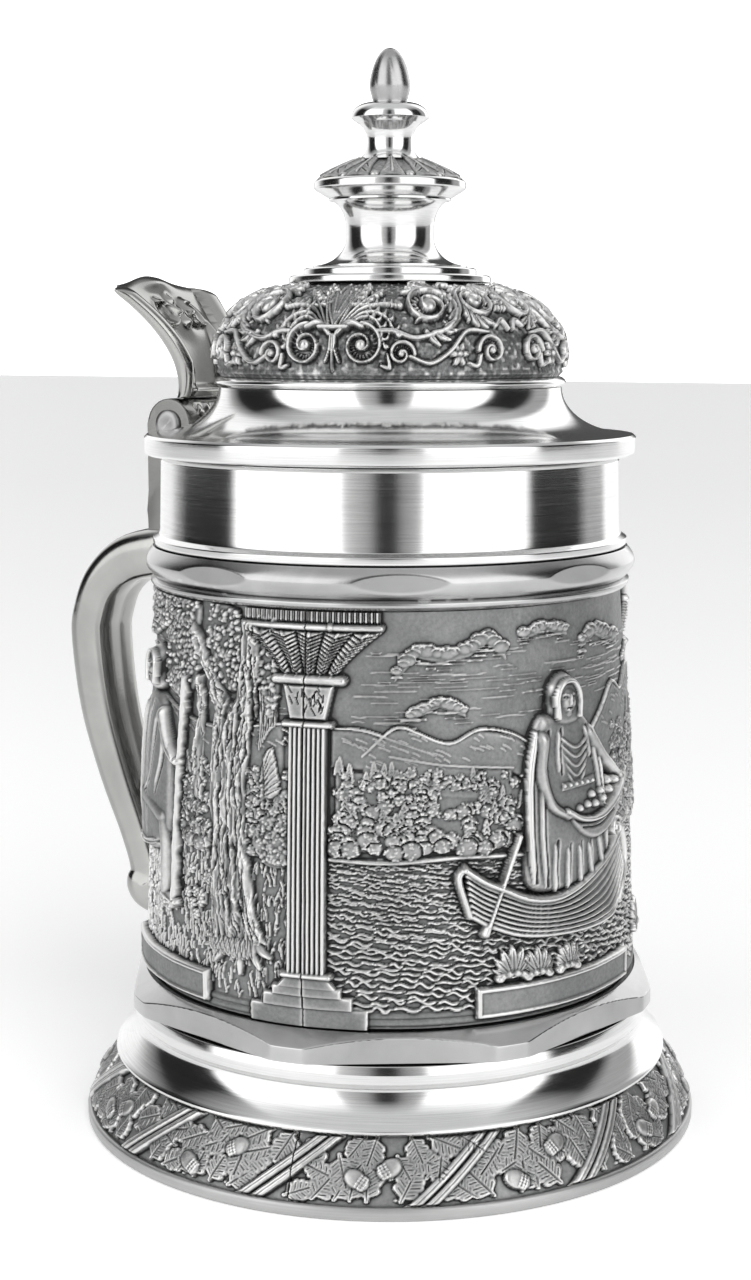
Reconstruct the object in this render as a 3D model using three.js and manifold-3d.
// Lidded relief pewter tankard: a cast and turned vessel with a strap hinge at the head of its
// handle, and a domed lid with a thumb lift and a stacked finial.
// Millimetres, +Z up. The tankard stands on z = 0 and its handle points along -X.
import * as THREE from "three";
import { mergeVertices } from "three/addons/utils/BufferGeometryUtils.js";
import Module from "manifold-3d";

const wasm = await Module();
wasm.setup();

// ---- Fits ----
const seam = 0.3;             // gap between soldered neighbours that are cut or faceted differently
const hingeClearance = 0.5;   // running gap around and between the hinge knuckles
const boreClearance = 0.3;    // radial gap of a pin or bolt in its bore
const ringSegments = 48;
const finialSegments = 24;

// ---- Foot ----
const footRadius = 60;
const footRimHeight = 2.4;
const footHeight = 13.2;
const footWall = 3.2;
const footBulge = 1.4;        // how far the skirt bellies out: 1 is a straight cone
const skirtTopRadius = 53.8;

// ---- Turned band above the foot ----
const bandHeight = 11.2;
const bandWaistReach = 1.9;   // the waist stands this far out from the foot of the sleeve

// ---- Octagonal lower collar ----
const lowerCollarHeight = 5.6;
const lowerCollarReach = 4.5; // the ring stands this far out from the sleeve
const lowerCollarEdge = 2.8;  // height of its upright edge, below the sloping top
const lowerFlatDepth = 2.9;   // how deep the eight flats bite into it
const octagonTurn = 7.7;      // degrees from the handle to the nearest corner
const floorThickness = 2.2;

// ---- Relief sleeve ----
const sleeveHeight = 74.3;
const sleeveBottomRadius = 47.8;
const wall = 2.2;

// ---- Upper collar and neck ----
const upperCollarHeight = 5.4;
const underBeadHeight = 2.1;
const neckRadius = 43.8;      // polished drinking rim
const neckHeight = 16.9;
const neckStepHeight = 1.6;
const neckStep = 1.6;
const upperCollarReach = 3.3;
const upperFlatDepth = 0.7;   // how deep the eight flats bite into the upper collar

// ---- Lid ----
const flangeReach = 3.1;
const flangeHeight = 3.8;
const coveHeight = 8.8;
const lidWall = 2;
const seatRingDepth = 5.3;
const seatRingWall = 1.5;
const seatRingPlay = 1.9;     // the ring swings on the hinge, so it needs play in the mouth
const beadHeight = 1.9;
const domeRadius = 33.1;
const domeHeight = 17.5;
const domeBelly = 1.9;        // height of the widest place above the bead
const domeApex = 17.6;        // height of the full curve above its widest place

// ---- Finial ----
const stepRadii = [19.1, 16.4];
const stepHeight = 1.4;
const stemHeight = 12.9;
const stemRadius = 8.3;
const stemFootRadius = 14.6;
const stemHeadRadius = 11.5;
const discRadius = 14.3;
const discHeight = 7.2;
const discRimHeight = 1.9;
const finialNeckHeight = 6.7;
const finialNeckRadius = 4.3;
const capRadius = 7.3;
const capHeight = 3.7;
const budRadius = 3.9;
const budHeight = 10.1;
const boltRadius = 2;
const boltHeadRadius = 5;
const boltHeadHeight = 2;

// ---- Hinge ----
const knuckleRadius = 5;
const hingeHalfWidth = 11;
const middleKnuckleHalf = 6.8;
const pinRadius = 1.7;
const pinHeadRadius = 2.8;
const pinHeadHeight = 0.8;
const postThickness = 4.6;
const leafInnerHalf = 10.5;
const leafThickness = 2.2;

// ---- Thumb lift ----
const liftHeight = 24;
const liftLean = 14.2;
const liftFootHalf = 9.6;
const liftTopHalf = 17;
const liftThickness = 2.2;
const liftRoll = 1.9;         // extra thickness of the rolled edges
const liftCurl = 2.6;         // the edges stand this far forward of the channel

// ---- Handle ----
const handleReach = 73.8;     // axis of the vessel to the outermost face of the grip
const gripThickness = 10;
const gripWidth = 13;
const rootHalf = 5.3;

// ---- Heights, from the foot upwards ----
const zBand = footHeight;
const zLowerCollar = zBand + bandHeight;
const zFloor = zLowerCollar + 1;
const zSleeve = zLowerCollar + lowerCollarHeight;
const zUnderBead = zSleeve + sleeveHeight;
const zUpperCollar = zUnderBead + underBeadHeight;
const zNeck = zUpperCollar + upperCollarHeight;
const zMouth = zNeck + neckHeight;
const zFlange = zMouth + seam;
const zCove = zFlange + flangeHeight;
const zBead = zCove + coveHeight;
const zDome = zBead + beadHeight;
const zSteps = zDome + domeHeight;
const zStem = zSteps + stepRadii.length * stepHeight;
const zDisc = zStem + stemHeight;
const zFinialNeck = zDisc + discHeight;
const zCap = zFinialNeck + finialNeckHeight;
const zBud = zCap + capHeight;

// ---- Radii that follow from those above ----
const mouthRadius = neckRadius - wall;
const sleeveTopRadius = neckRadius + 1;
const sleeveFootBore = sleeveBottomRadius - wall - 0.8;
const sleeveTopBore = mouthRadius + 0.6;
const flangeRadius = neckRadius + flangeReach;
const seatRingRadius = mouthRadius - seatRingPlay;
const coveFoot = flangeRadius - 0.5;
const coveRadius = domeRadius - 0.4;
const domeBore = domeRadius - lidWall;
const lowerCollarRadius = sleeveBottomRadius + lowerCollarReach;
const bandWaistRadius = sleeveBottomRadius + bandWaistReach;
const bandBore = sleeveBottomRadius - wall - 0.6;
const upperCollarRadius = neckRadius + upperCollarReach;
const underBeadRadius = upperCollarRadius - 1.1;

const hingeX = -(neckRadius - 0.3);
const hingeZ = zMouth + knuckleRadius + seam;
const postFace = hingeX - knuckleRadius;          // outer face of the post, level with the knuckles
const notchDepthX = hingeX + knuckleRadius + hingeClearance;
const notchHalf = hingeHalfWidth + pinHeadHeight + hingeClearance;

// ---- Shape helpers ----

function signedArea(points) {
  let sum = 0;
  for (let i = 0; i < points.length; i += 1) {
    const [ax, ay] = points[i];
    const [bx, by] = points[(i + 1) % points.length];
    sum += ax * by - bx * ay;
  }
  return sum / 2;
}

// A solid of revolution about Z from a closed outline of [radius, height] points.
function turned(outline, segments = ringSegments) {
  const points = signedArea(outline) > 0 ? [...outline] : [...outline].reverse();
  const onAxis = points.some(([r]) => r === 0);
  if (onAxis) {
    while (!(points[0][0] === 0 && points[points.length - 1][0] === 0)) {
      points.push(points.shift());
    }
    if (points[0][1] > points[points.length - 1][1]) {
      points.reverse();
    }
  } else {
    points.push(points[0]);
  }
  const geometry = new THREE.LatheGeometry(points.map(([r, z]) => new THREE.Vector2(r, z)), segments);
  geometry.rotateX(Math.PI / 2);
  return geometry;
}

function toSolid(geometry) {
  const bare = geometry.clone();
  bare.deleteAttribute("normal");
  bare.deleteAttribute("uv");
  const merged = mergeVertices(bare, 1e-4);
  return new wasm.Manifold(new wasm.Mesh({
    numProp: 3,
    vertProperties: new Float32Array(merged.attributes.position.array),
    triVerts: new Uint32Array(merged.index.array),
  }));
}

function toGeometry(solid) {
  const mesh = solid.getMesh();
  const geometry = new THREE.BufferGeometry();
  geometry.setAttribute("position", new THREE.BufferAttribute(new Float32Array(mesh.vertProperties), 3));
  geometry.setIndex(new THREE.BufferAttribute(new Uint32Array(mesh.triVerts), 1));
  geometry.computeVertexNormals();
  return geometry;
}

function box(x0, x1, y0, y1, z0, z1) {
  const geometry = new THREE.BoxGeometry(x1 - x0, y1 - y0, z1 - z0);
  geometry.translate((x0 + x1) / 2, (y0 + y1) / 2, (z0 + z1) / 2);
  return toSolid(geometry);
}

// A solid cylinder along Y, centred on the hinge line.
function hingeCylinder(radius, y0, y1, segments = 28) {
  const geometry = new THREE.CylinderGeometry(radius, radius, y1 - y0, segments);
  geometry.translate(0, (y0 + y1) / 2, 0);
  geometry.translate(hingeX, 0, hingeZ);
  return toSolid(geometry);
}

// An outline in the XZ plane, extruded evenly to both sides of y = 0.
function slab(outline, half) {
  const shape = new THREE.Shape(outline.map(([x, z]) => new THREE.Vector2(x, z)));
  const geometry = new THREE.ExtrudeGeometry(shape, { depth: 2 * half, bevelEnabled: false });
  geometry.rotateX(Math.PI / 2);
  geometry.translate(0, half, 0);
  return toSolid(geometry);
}

// An outline in the XY plane, extruded from z0 to z1.
function prism(outline, z0, z1) {
  const shape = new THREE.Shape(outline.map(([x, y]) => new THREE.Vector2(x, y)));
  const geometry = new THREE.ExtrudeGeometry(shape, { depth: z1 - z0, bevelEnabled: false });
  geometry.translate(0, 0, z0);
  return toSolid(geometry);
}

function octagon(apothem, z0, z1) {
  const corner = apothem / Math.cos(Math.PI / 8);
  const points = [];
  for (let i = 0; i < 8; i += 1) {
    const angle = Math.PI + THREE.MathUtils.degToRad(octagonTurn + 45 * i);
    points.push([corner * Math.cos(angle), corner * Math.sin(angle)]);
  }
  return prism(points, z0, z1);
}

function arc(count, point) {
  return Array.from({ length: count + 1 }, (_, i) => point(i / count));
}

const materials = {
  polished: { color: 0x9fa1a3, roughness: 0.22, metalness: 1 },
  relief: { color: 0x7d7e7e, roughness: 0.5, metalness: 1 },
  satin: { color: 0x8b8c88, roughness: 0.32, metalness: 1 },
  inside: { color: 0x84868a, roughness: 0.55, metalness: 1 },
  pin: { color: 0x6f7073, roughness: 0.4, metalness: 1 },
};

const tankard = new THREE.Group();

function add(name, geometry, finish) {
  const mesh = new THREE.Mesh(geometry, new THREE.MeshStandardMaterial(materials[finish]));
  mesh.name = name;
  tankard.add(mesh);
}

// ---- Vessel ----

function skirtRadius(z, grow = 0) {
  const rise = Math.max(0, (z - footRimHeight) / (footHeight - footRimHeight));
  return footRadius - (footRadius - skirtTopRadius) * rise ** footBulge + grow;
}

function sleeveRadius(z) {
  const up = (z - zSleeve) / sleeveHeight;
  return sleeveBottomRadius + (sleeveTopRadius - sleeveBottomRadius) * up ** 1.5;
}

function footCasting() {
  const skirt = arc(6, (t) => {
    const z = footRimHeight + (footHeight - footRimHeight) * t;
    return [skirtRadius(z), z];
  });
  const roof = [[bandBore, footHeight], [bandBore, footHeight - footWall]];
  const hollow = arc(4, (t) => {
    const z = (footHeight - footWall) * (1 - t);
    return [skirtRadius(z) - footWall - 1.2 * (1 - t), z];
  });
  return turned([[footRadius, 0], ...skirt, ...roof, ...hollow]);
}

function footBand() {
  const zWaist = zBand + 0.6 * bandHeight;
  const scoop = arc(5, (t) => {
    const out = (1 - t) ** 1.7;
    const radius = bandWaistRadius + (skirtTopRadius + 0.4 - bandWaistRadius) * out;
    return [radius, zBand + 0.7 + (zWaist - zBand - 0.7) * t];
  });
  const lip = [[skirtTopRadius + 0.2, zBand], [skirtTopRadius + 0.4, zBand + 0.3]];
  const head = [[bandWaistRadius + 0.9, zWaist + 1.2], [bandWaistRadius + 1, zLowerCollar - 1],
    [bandWaistRadius + 0.6, zLowerCollar]];
  return turned([[bandBore, zBand], ...lip, ...scoop, ...head, [bandBore, zLowerCollar]]);
}

// The collar's outer shape, grown evenly when it serves as a keep-out for its neighbours.
function lowerCollarBlank(grow = 0) {
  const z0 = zLowerCollar + seam;
  const ring = turned([
    [0, z0 - grow],
    [lowerCollarRadius + grow, z0 - grow],
    [lowerCollarRadius + grow, z0 + lowerCollarEdge],
    [sleeveBottomRadius + 0.4 + grow, zSleeve + grow],
    [0, zSleeve + grow],
  ]);
  return toSolid(ring).intersect(octagon(lowerCollarRadius - lowerFlatDepth + grow, z0 - 5, zSleeve + 5));
}

function lowerCollar() {
  const bore = turned([[0, zLowerCollar - 5], [sleeveFootBore, zLowerCollar - 5],
    [sleeveFootBore, zSleeve + 5], [0, zSleeve + 5]]);
  return toGeometry(lowerCollarBlank().subtract(toSolid(bore)));
}

function vesselFloor() {
  const radius = sleeveFootBore - seam;
  const top = zFloor + floorThickness;
  return turned([[0, zFloor], [radius, zFloor], [radius, top], [0, top]]);
}

function bodySleeve() {
  const outside = arc(5, (t) => {
    const z = zSleeve + seam + (sleeveHeight - 2 * seam) * t;
    return [sleeveRadius(z), z];
  });
  return turned([...outside, [sleeveTopBore, zUnderBead - seam], [sleeveFootBore, zSleeve + seam]]);
}

function upperCollar() {
  const bulge = arc(6, (t) => {
    const angle = (t - 0.5) * Math.PI;
    return [upperCollarRadius - 1.6 * (1 - Math.cos(angle)), zUpperCollar + upperCollarHeight * t];
  });
  const under = [[underBeadRadius - 0.8, zUnderBead], [underBeadRadius, zUnderBead + 0.8],
    [underBeadRadius, zUpperCollar - 0.8], [upperCollarRadius - 1.8, zUpperCollar - 0.3]];
  const ring = turned([[sleeveTopBore, zUnderBead], ...under, ...bulge, [sleeveTopBore, zNeck]]);
  const flats = octagon(upperCollarRadius - upperFlatDepth, zUpperCollar, zNeck + 5);
  const lower = box(-80, 80, -80, 80, zUnderBead - 5, zUpperCollar);
  return toGeometry(toSolid(ring).intersect(flats.add(lower)));
}

function neckBand() {
  const z0 = zNeck + seam;
  const zStep = zNeck + neckStepHeight;
  return turned([
    [mouthRadius, z0],
    [neckRadius + neckStep, z0],
    [neckRadius + neckStep, zStep],
    [neckRadius + 0.5, zStep + 0.9],
    [neckRadius + 0.3, zStep + 1.4],
    [neckRadius, zMouth - 0.8],
    [neckRadius - 0.8, zMouth],
    [mouthRadius + 0.8, zMouth],
    [mouthRadius, zMouth - 0.8],
  ]);
}

// Everything on the vessel that the handle and the hinge post lie against, with a seam around it.
function vesselKeepOut() {
  const sleeve = arc(5, (t) => {
    const z = zSleeve + (sleeveHeight - seam) * t;
    return [sleeveRadius(z) + seam, z];
  });
  const outline = turned([
    [0, zSleeve],
    ...sleeve,
    [underBeadRadius + seam, zUnderBead - seam],
    [underBeadRadius + seam, zUpperCollar - seam],
    [upperCollarRadius + seam, zUpperCollar],
    [upperCollarRadius + seam, zNeck],
    [neckRadius + neckStep + seam, zNeck + seam],
    [neckRadius + neckStep + seam, zNeck + neckStepHeight + seam],
    [neckRadius + 0.3 + seam, zNeck + neckStepHeight + 1.8],
    [neckRadius + seam, zMouth + seam],
    [0, zMouth + seam],
  ]);
  return toSolid(outline).add(lowerCollarBlank(seam));
}

// ---- Handle ----

// Centre line of the grip as [reach, height], its half thickness and its half width.
function handleStations() {
  const half = gripThickness / 2;
  const halfWidth = gripWidth / 2;
  const reach = handleReach - half;
  const root = neckRadius;
  const zRoot = zUpperCollar + 0.9;
  const zGrip = zRoot - 18.4;
  const zTail = zSleeve + 4.4;
  const drop = zGrip - zTail;
  const tailReach = sleeveBottomRadius + 7.5;
  const span = reach - tailReach;
  return [
    [root, zRoot + 0.6, rootHalf, halfWidth + 0.6],
    [root + 8, zRoot + 0.1, rootHalf, halfWidth + 0.3],
    [root + 0.64 * (reach - root), zRoot - 1.9, half + 0.2, halfWidth],
    [root + 0.86 * (reach - root), zRoot - 6.4, half, halfWidth],
    [root + 0.97 * (reach - root), zRoot - 12.4, half, halfWidth],
    [reach, zGrip, half, halfWidth],
    [reach - 0.13 * span, zGrip - 0.26 * drop, half - 0.1, halfWidth - 0.3],
    [reach - 0.42 * span, zGrip - 0.51 * drop, half - 0.4, halfWidth - 0.8],
    [reach - 0.76 * span, zGrip - 0.73 * drop, half - 0.8, halfWidth - 1.2],
    [reach - 0.95 * span, zGrip - 0.87 * drop, half - 0.7, halfWidth - 1.2],
    [tailReach + 0.4, zTail + 3.2, half + 0.2, halfWidth - 0.5],
    [tailReach - 3, zTail + 1.6, half - 0.1, halfWidth - 0.7],
    [sleeveBottomRadius, zTail + 1.8, half - 0.3, halfWidth - 0.9],
  ];
}

function handle() {
  const stations = handleStations();
  const line = new THREE.CatmullRomCurve3(stations.map(([r, z]) => new THREE.Vector3(-r, 0, z)));
  const sizes = new THREE.CatmullRomCurve3(
    stations.map(([, , half, wide]) => new THREE.Vector3(half, wide, 0)));
  const geometry = new THREE.CylinderGeometry(1, 1, 1, 16, 26);
  const position = geometry.attributes.position;
  const across = new THREE.Vector3(0, 1, 0);
  for (let i = 0; i < position.count; i += 1) {
    const t = position.getY(i) + 0.5;
    const centre = line.getPoint(t);
    const size = sizes.getPoint(t);
    const inward = new THREE.Vector3().crossVectors(line.getTangent(t), across);
    const u = position.getX(i);
    const v = position.getZ(i);
    const round = u === 0 && v === 0 ? 0 : (Math.abs(u) ** 3 + Math.abs(v) ** 3) ** (-1 / 3);
    const spot = centre.addScaledVector(inward, u * round * size.x)
      .addScaledVector(across, v * round * size.y);
    position.setXYZ(i, spot.x, spot.y, spot.z);
  }
  return toSolid(geometry);
}

// ---- Hinge ----

function outerKnuckles(radius, inset = 0) {
  const inner = middleKnuckleHalf + hingeClearance - inset;
  const right = hingeCylinder(radius, inner, hingeHalfWidth + inset);
  const left = hingeCylinder(radius, -hingeHalfWidth - inset, -inner);
  return right.add(left);
}

function postPlate(grow = 0) {
  const z0 = zNeck + 1;
  return slab([
    [postFace - 0.4 - grow, z0 - grow],
    [postFace - 0.4 - grow, z0 + 4],
    [postFace - grow, z0 + 8],
    [postFace - grow, hingeZ],
    [postFace + postThickness, hingeZ],
    [postFace + postThickness, z0 - grow],
  ], hingeHalfWidth + grow);
}

function hingePost() {
  const middle = hingeCylinder(knuckleRadius + hingeClearance, -middleKnuckleHalf - hingeClearance,
    middleKnuckleHalf + hingeClearance);
  const gate = box(postFace - 5, 0, -middleKnuckleHalf - hingeClearance, middleKnuckleHalf + hingeClearance,
    hingeZ - 1, hingeZ + 10);
  const bore = hingeCylinder(pinRadius + boreClearance, -30, 30, 20);
  return postPlate().add(outerKnuckles(knuckleRadius)).subtract(middle).subtract(gate).subtract(bore);
}

function hingePin() {
  const shank = hingeCylinder(pinRadius, -hingeHalfWidth - seam, hingeHalfWidth + seam, 20);
  const right = hingeCylinder(pinHeadRadius, hingeHalfWidth + seam, hingeHalfWidth + pinHeadHeight, 20);
  const left = hingeCylinder(pinHeadRadius, -hingeHalfWidth - pinHeadHeight, -hingeHalfWidth - seam, 20);
  return shank.add(right).add(left);
}

// ---- Lid ----

function coveRadiusAt(t) {
  const drop = 1 - t;
  return coveFoot - (coveFoot - coveRadius) * Math.sqrt(Math.max(0, 1 - drop * drop));
}

function lidFlangeOutline(grow = 0) {
  const cove = arc(7, (t) => [coveRadiusAt(t) + grow, zCove + coveHeight * t + grow * (1 - t)]);
  return [
    [flangeRadius - 0.5, zFlange],
    [flangeRadius + grow, zFlange + 0.5],
    [flangeRadius + grow, zCove - 0.5],
    ...cove,
  ];
}

function lidFlange() {
  const recess = zFlange + lidWall;
  const hollow = [
    [domeBore, zBead],
    [domeBore, zCove + 0.5 * coveHeight],
    [domeBore + 0.3 * (coveFoot - domeBore), zCove + 0.5],
    [seatRingRadius + seam, recess],
    [seatRingRadius + seam, zFlange],
  ];
  const ring = toSolid(turned([...lidFlangeOutline(), ...hollow]));
  const notch = box(-flangeRadius - 20, notchDepthX, -notchHalf, notchHalf,
    zFlange - 5, hingeZ + knuckleRadius);
  return ring.subtract(notch);
}

function lidSeatRing() {
  const top = zFlange + lidWall - seam;
  const inner = seatRingRadius - seatRingWall;
  const ring = turned([
    [inner, zMouth - seatRingDepth],
    [seatRingRadius - 0.5, zMouth - seatRingDepth],
    [seatRingRadius, zMouth - seatRingDepth + 0.5],
    [seatRingRadius, top],
    [inner, top],
  ]);
  const relief = hingeCylinder(knuckleRadius + hingeClearance, -notchHalf, notchHalf);
  return toGeometry(toSolid(ring).subtract(relief));
}

function domeBead() {
  const crown = arc(4, (t) => {
    const angle = (t - 0.5) * Math.PI;
    return [coveRadius + 0.8 * Math.cos(angle), zBead + beadHeight * t];
  });
  return turned([[domeBore, zBead + seam], [coveRadius, zBead + seam], ...crown.slice(1), [domeBore, zDome]]);
}

function domeShell(radius, apex) {
  const widest = zDome + domeBelly;
  const top = Math.min(zSteps - widest, 0.985 * apex);
  return arc(7, (t) => {
    const rise = top * t ** 0.8;
    return [radius * Math.sqrt(1 - (rise / apex) ** 3), widest + rise];
  });
}

function lidDome() {
  const outside = domeShell(domeRadius, domeApex);
  outside[outside.length - 1][1] = zSteps;
  const bore = boltRadius + boreClearance;
  const roof = zSteps - lidWall;
  const widest = zDome + domeBelly;
  const inside = arc(5, (t) => {
    const rise = (roof - widest) * (1 - t);
    return [domeBore * Math.sqrt(1 - (rise / domeApex) ** 3) - 0.6 * (1 - t), widest + rise];
  });
  return turned([
    [domeRadius - 0.4, zDome], ...outside, [bore, zSteps], [bore, roof], ...inside, [domeBore, zDome]]);
}

// The leaf that carries the middle knuckle, spreading inwards over the cove.
function lidHingeLeaf(flangeKeepOut) {
  const inner = -(coveRadius + 1.6);
  const plan = prism([
    [hingeX - knuckleRadius, -middleKnuckleHalf],
    [inner, -leafInnerHalf],
    [inner, leafInnerHalf],
    [hingeX - knuckleRadius, middleKnuckleHalf],
  ], zFlange, zBead + 5);
  const side = slab([
    [hingeX, hingeZ - 1],
    [hingeX, hingeZ + knuckleRadius],
    [notchDepthX + 0.6, hingeZ + knuckleRadius - 0.3],
    [inner, zCove + 0.62 * coveHeight + leafThickness],
    [inner, zFlange + lidWall],
    [notchDepthX, hingeZ - 1],
  ], 2 * leafInnerHalf);
  const knuckle = hingeCylinder(knuckleRadius, -middleKnuckleHalf, middleKnuckleHalf);
  const clearOfPost = outerKnuckles(knuckleRadius + hingeClearance, hingeClearance);
  const bore = hingeCylinder(pinRadius + boreClearance, -30, 30, 20);
  return plan.intersect(side).add(knuckle).subtract(flangeKeepOut).subtract(clearOfPost).subtract(bore);
}

// A shell-shaped lever: a curved plate with rolled edges, a channelled face and a three-lobed top.
function thumbLift() {
  const foot = hingeZ + knuckleRadius + seam;
  const geometry = new THREE.BoxGeometry(2, 1, 1, 12, 1, 10);
  const position = geometry.attributes.position;
  for (let i = 0; i < position.count; i += 1) {
    const u = position.getX(i);
    const front = position.getY(i) < 0;
    const t = position.getZ(i) + 0.5;
    const half = liftFootHalf + (liftTopHalf - liftFootHalf) * t ** 1.6;
    const lobes = 1 - 0.13 * u * u - 0.03 * Math.sin(Math.PI * Math.abs(u)) ** 2;
    const height = liftHeight * t * (1 - t * (1 - lobes));
    const back = hingeX + 0.4 - liftLean * (height / liftHeight) ** 2.1;
    const edge = Math.abs(u) ** 4;
    const thick = liftThickness + liftRoll * Math.max(edge, t ** 8) * t ** 0.3;
    const curl = liftCurl * u * u * (1 - 0.9 * t);
    position.setXYZ(i, back + curl * t ** 0.5 + (front ? thick : 0), u * half, foot + height);
  }
  return toSolid(geometry);
}

// ---- Finial ----

function bored(outline) {
  const bore = boltRadius + boreClearance;
  const lowest = outline[0][1];
  const highest = outline[outline.length - 1][1];
  return turned([[bore, lowest], ...outline, [bore, highest]], finialSegments);
}

function finialSteps() {
  const outline = stepRadii.flatMap((radius, i) => {
    const z0 = zSteps + i * stepHeight;
    return [[radius, z0], [radius, z0 + stepHeight - 0.3], [radius - 0.3, z0 + stepHeight]];
  });
  return bored(outline);
}

function finialStem() {
  const low = arc(5, (t) => {
    const angle = (t * Math.PI) / 2;
    const radius = stemFootRadius - (stemFootRadius - stemRadius) * Math.sin(angle);
    return [radius, zStem + 0.5 + 5.4 * (1 - Math.cos(angle))];
  });
  const high = arc(5, (t) => {
    const angle = (t * Math.PI) / 2;
    const flare = stemHeadRadius - stemRadius;
    return [stemRadius + flare * (1 - Math.cos(angle)), zDisc - 0.4 - 5.4 * (1 - Math.sin(angle))];
  });
  return bored([[stemFootRadius, zStem], ...low, ...high, [stemHeadRadius, zDisc]]);
}

function finialDisc() {
  const zRim = zDisc + 1.5;
  const zCrown = zRim + discRimHeight;
  const head = finialNeckRadius + 1.5;
  const crown = arc(5, (t) => [
    discRadius - 0.8 - (discRadius - 0.8 - head) * t,
    zCrown + (zFinialNeck - zCrown) * t ** 0.8,
  ]);
  return bored([[stemHeadRadius, zDisc], [discRadius - 0.3, zRim], [discRadius, zRim + 0.3],
    [discRadius, zCrown - 0.3], ...crown]);
}

function finialNeck() {
  const waist = arc(6, (t) => {
    const flare = Math.abs(2 * t - 1) ** 2;
    return [finialNeckRadius + 1.6 * flare, zFinialNeck + finialNeckHeight * t];
  });
  return bored(waist);
}

function finialCap() {
  const crown = arc(5, (t) => {
    const angle = (t * Math.PI) / 2;
    const radius = capRadius - (capRadius - budRadius) * (1 - Math.cos(angle));
    return [radius, zCap + 1 + (capHeight - 1) * Math.sin(angle)];
  });
  return bored([[capRadius - 1.2, zCap], ...crown]);
}

function finialBud() {
  const bore = boltRadius + boreClearance;
  const blind = zBud + 0.35 * budHeight;
  const leaf = arc(6, (t) => [budRadius * Math.sqrt(1 - t ** 2.4) * (0.94 + 0.06 * Math.sin(Math.PI * t)),
    zBud + budHeight * t]);
  leaf[leaf.length - 1][0] = 0;
  return turned([[bore, zBud], ...leaf, [0, blind], [bore, blind]], finialSegments);
}

function finialBolt() {
  const under = zSteps - lidWall - seam;
  const tip = zBud + 0.35 * budHeight - seam;
  return turned([
    [0, under - boltHeadHeight],
    [boltHeadRadius - 0.4, under - boltHeadHeight],
    [boltHeadRadius, under - boltHeadHeight + 0.4],
    [boltHeadRadius, under],
    [boltRadius, under],
    [boltRadius, tip],
    [0, tip],
  ], finialSegments);
}

// ---- Assembly ----

const keepOut = vesselKeepOut();
const flange = lidFlange();
const flangeKeepOut = toSolid(turned([[0, zFlange - 5], [flangeRadius, zFlange - 5], ...lidFlangeOutline(seam),
  [0, zBead]])).subtract(box(-flangeRadius - 20, notchDepthX - seam, -notchHalf, notchHalf, zFlange - 9,
  hingeZ + knuckleRadius));

add("foot_casting", footCasting(), "relief");
add("foot_band", footBand(), "polished");
add("lower_collar", lowerCollar(), "polished");
add("vessel_floor", vesselFloor(), "inside");
add("body_sleeve", bodySleeve(), "relief");
add("upper_collar", upperCollar(), "polished");
add("neck_band", neckBand(), "polished");
add("handle", toGeometry(handle().subtract(keepOut).subtract(postPlate(seam))), "satin");
add("hinge_post", toGeometry(hingePost().subtract(keepOut)), "satin");
add("hinge_pin", toGeometry(hingePin()), "pin");
add("lid_hinge_leaf", toGeometry(lidHingeLeaf(flangeKeepOut)), "satin");
add("thumb_lift", toGeometry(thumbLift()), "satin");
add("lid_flange", toGeometry(flange), "polished");
add("lid_seat_ring", lidSeatRing(), "inside");
add("dome_bead", domeBead(), "polished");
add("lid_dome", lidDome(), "relief");
add("finial_steps", finialSteps(), "polished");
add("finial_stem", finialStem(), "polished");
add("finial_disc", finialDisc(), "relief");
add("finial_neck", finialNeck(), "polished");
add("finial_cap", finialCap(), "polished");
add("finial_bud", finialBud(), "relief");
add("finial_bolt", finialBolt(), "pin");

// The frame's origin is under the middle of the object's box, which the handle makes longer.
tankard.position.x = (handleReach - footRadius) / 2;

export default tankard;
